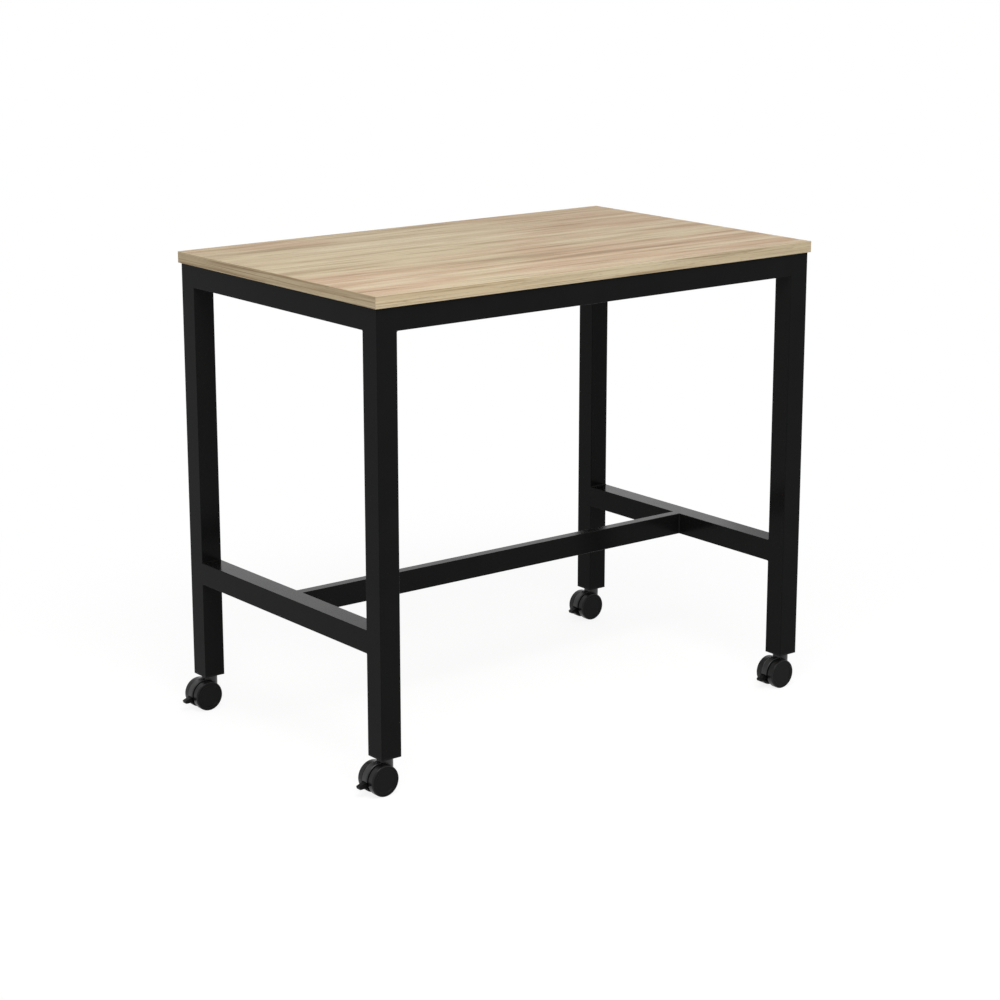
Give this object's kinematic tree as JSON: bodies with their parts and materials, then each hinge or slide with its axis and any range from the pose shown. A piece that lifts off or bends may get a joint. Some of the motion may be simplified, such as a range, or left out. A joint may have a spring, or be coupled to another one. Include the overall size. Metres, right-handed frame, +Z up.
{
  "type": "bar table",
  "caption": "Bar-height table with a rectangular wood-look top on a square-tube frame with an H-shaped foot rest, on swivel casters with brake pedals.",
  "frame": {"origin": "on the floor under the middle of the table top", "axes": "+X along the length, +Y towards the back long side, +Z up"},
  "size_m": [1.2391, 0.75, 1.05],
  "materials": {
    "oak_laminate": "wood-look melamine laminate, low sheen",
    "oak_edging": "wood-look ABS edging, low sheen",
    "powder_coat": "black powder coat, satin",
    "insert_nylon": "moulded black nylon",
    "caster_nylon": "moulded black nylon, satin",
    "lever_nylon": "moulded black nylon, satin",
    "tread": "soft black tread, matt",
    "zinc_steel": "bright zinc plate"
  },
  "bodies": {
    "table": {"caster_stems": "zinc_steel", "edge_band_back": "oak_edging", "edge_band_front": "oak_edging", "edge_band_left": "oak_edging", "edge_band_right": "oak_edging", "fixing_tabs": "powder_coat", "foot_rail_left": "powder_coat", "foot_rail_right": "powder_coat", "insert_nuts": "zinc_steel", "leg_back_left": "powder_coat", "leg_back_right": "powder_coat", "leg_front_left": "powder_coat", "leg_front_right": "powder_coat", "leg_inserts": "insert_nylon", "stem_clips": "zinc_steel", "stretcher": "powder_coat", "table_top": "oak_laminate", "top_rail_back": "powder_coat", "top_rail_front": "powder_coat", "top_rail_left": "powder_coat", "top_rail_right": "powder_coat", "top_screws": "zinc_steel"},
    "caster_front_left_swivel": {"caster_front_left_body": "caster_nylon", "caster_front_left_axle": "zinc_steel", "caster_front_left_lever_pin": "zinc_steel"},
    "caster_front_left_front_roller": {"caster_front_left_front_wheel": "caster_nylon", "caster_front_left_front_tyre": "tread"},
    "caster_front_left_back_roller": {"caster_front_left_back_wheel": "caster_nylon", "caster_front_left_back_tyre": "tread"},
    "caster_front_left_brake": {"caster_front_left_brake_lever": "lever_nylon", "caster_front_left_brake_bar": "zinc_steel"},
    "caster_front_right_swivel": {"caster_front_right_body": "caster_nylon", "caster_front_right_axle": "zinc_steel", "caster_front_right_lever_pin": "zinc_steel"},
    "caster_front_right_front_roller": {"caster_front_right_front_wheel": "caster_nylon", "caster_front_right_front_tyre": "tread"},
    "caster_front_right_back_roller": {"caster_front_right_back_wheel": "caster_nylon", "caster_front_right_back_tyre": "tread"},
    "caster_front_right_brake": {"caster_front_right_brake_lever": "lever_nylon", "caster_front_right_brake_bar": "zinc_steel"},
    "caster_back_left_swivel": {"caster_back_left_body": "caster_nylon", "caster_back_left_axle": "zinc_steel", "caster_back_left_lever_pin": "zinc_steel"},
    "caster_back_left_front_roller": {"caster_back_left_front_wheel": "caster_nylon", "caster_back_left_front_tyre": "tread"},
    "caster_back_left_back_roller": {"caster_back_left_back_wheel": "caster_nylon", "caster_back_left_back_tyre": "tread"},
    "caster_back_left_brake": {"caster_back_left_brake_lever": "lever_nylon", "caster_back_left_brake_bar": "zinc_steel"},
    "caster_back_right_swivel": {"caster_back_right_body": "caster_nylon", "caster_back_right_axle": "zinc_steel", "caster_back_right_lever_pin": "zinc_steel"},
    "caster_back_right_front_roller": {"caster_back_right_front_wheel": "caster_nylon", "caster_back_right_front_tyre": "tread"},
    "caster_back_right_back_roller": {"caster_back_right_back_wheel": "caster_nylon", "caster_back_right_back_tyre": "tread"},
    "caster_back_right_brake": {"caster_back_right_brake_lever": "lever_nylon", "caster_back_right_brake_bar": "zinc_steel"}
  },
  "joints": [
    {"name": "caster_front_left_swivel_turn", "type": "hinge", "parent": "table", "child": "caster_front_left_swivel", "pos_m": [-0.57, -0.345, 0.05], "axis": [0, 0, 1], "continuous": true},
    {"name": "caster_front_left_front_roll", "type": "hinge", "parent": "caster_front_left_swivel", "child": "caster_front_left_front_roller", "pos_m": [-0.587, -0.345, 0.034], "axis": [0, 1, 0], "continuous": true},
    {"name": "caster_front_left_back_roll", "type": "hinge", "parent": "caster_front_left_swivel", "child": "caster_front_left_back_roller", "pos_m": [-0.587, -0.345, 0.034], "axis": [0, 1, 0], "continuous": true},
    {"name": "caster_front_left_brake_press", "type": "hinge", "parent": "caster_front_left_swivel", "child": "caster_front_left_brake", "pos_m": [-0.60615, -0.345, 0.03947], "axis": [0, -1, 0], "range_deg": [0, 14]},
    {"name": "caster_front_right_swivel_turn", "type": "hinge", "parent": "table", "child": "caster_front_right_swivel", "pos_m": [0.57, -0.345, 0.05], "axis": [0, 0, 1], "continuous": true},
    {"name": "caster_front_right_front_roll", "type": "hinge", "parent": "caster_front_right_swivel", "child": "caster_front_right_front_roller", "pos_m": [0.553, -0.345, 0.034], "axis": [0, 1, 0], "continuous": true},
    {"name": "caster_front_right_back_roll", "type": "hinge", "parent": "caster_front_right_swivel", "child": "caster_front_right_back_roller", "pos_m": [0.553, -0.345, 0.034], "axis": [0, 1, 0], "continuous": true},
    {"name": "caster_front_right_brake_press", "type": "hinge", "parent": "caster_front_right_swivel", "child": "caster_front_right_brake", "pos_m": [0.53385, -0.345, 0.03947], "axis": [0, -1, 0], "range_deg": [0, 14]},
    {"name": "caster_back_left_swivel_turn", "type": "hinge", "parent": "table", "child": "caster_back_left_swivel", "pos_m": [-0.57, 0.345, 0.05], "axis": [0, 0, 1], "continuous": true},
    {"name": "caster_back_left_front_roll", "type": "hinge", "parent": "caster_back_left_swivel", "child": "caster_back_left_front_roller", "pos_m": [-0.587, 0.345, 0.034], "axis": [0, 1, 0], "continuous": true},
    {"name": "caster_back_left_back_roll", "type": "hinge", "parent": "caster_back_left_swivel", "child": "caster_back_left_back_roller", "pos_m": [-0.587, 0.345, 0.034], "axis": [0, 1, 0], "continuous": true},
    {"name": "caster_back_left_brake_press", "type": "hinge", "parent": "caster_back_left_swivel", "child": "caster_back_left_brake", "pos_m": [-0.60615, 0.345, 0.03947], "axis": [0, -1, 0], "range_deg": [0, 14]},
    {"name": "caster_back_right_swivel_turn", "type": "hinge", "parent": "table", "child": "caster_back_right_swivel", "pos_m": [0.57, 0.345, 0.05], "axis": [0, 0, 1], "continuous": true},
    {"name": "caster_back_right_front_roll", "type": "hinge", "parent": "caster_back_right_swivel", "child": "caster_back_right_front_roller", "pos_m": [0.553, 0.345, 0.034], "axis": [0, 1, 0], "continuous": true},
    {"name": "caster_back_right_back_roll", "type": "hinge", "parent": "caster_back_right_swivel", "child": "caster_back_right_back_roller", "pos_m": [0.553, 0.345, 0.034], "axis": [0, 1, 0], "continuous": true},
    {"name": "caster_back_right_brake_press", "type": "hinge", "parent": "caster_back_right_swivel", "child": "caster_back_right_brake", "pos_m": [0.53385, 0.345, 0.03947], "axis": [0, -1, 0], "range_deg": [0, 14]}
  ]
}
